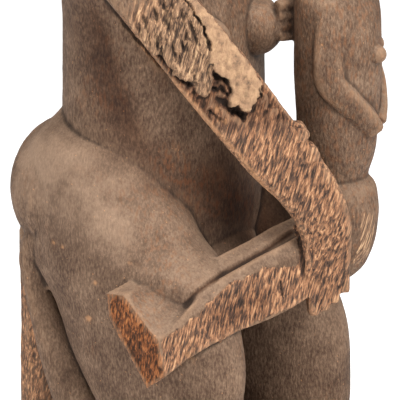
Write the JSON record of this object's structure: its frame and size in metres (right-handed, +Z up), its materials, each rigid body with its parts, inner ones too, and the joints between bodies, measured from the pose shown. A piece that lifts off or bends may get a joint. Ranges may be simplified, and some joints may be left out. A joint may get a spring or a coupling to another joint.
{
  "type": "carved wooden mother and child sculpture",
  "caption": "Carved wooden figure of a seated mother with an upright child across her lap, one block with its stool and low base.",
  "frame": {"origin": "centre of the base's flat underside", "axes": "+Z up along the figure, the mother faces -Y, her right arm is on the -X side"},
  "size_m": [0.3012, 0.334, 0.7653],
  "materials": {
    "weathered_wood": "dark, dry hardwood with a worn patina, open vertical grain and rough eroded patches"
  },
  "bodies": {
    "root": {"mother_and_child": "weathered_wood"}
  },
  "joints": []
}
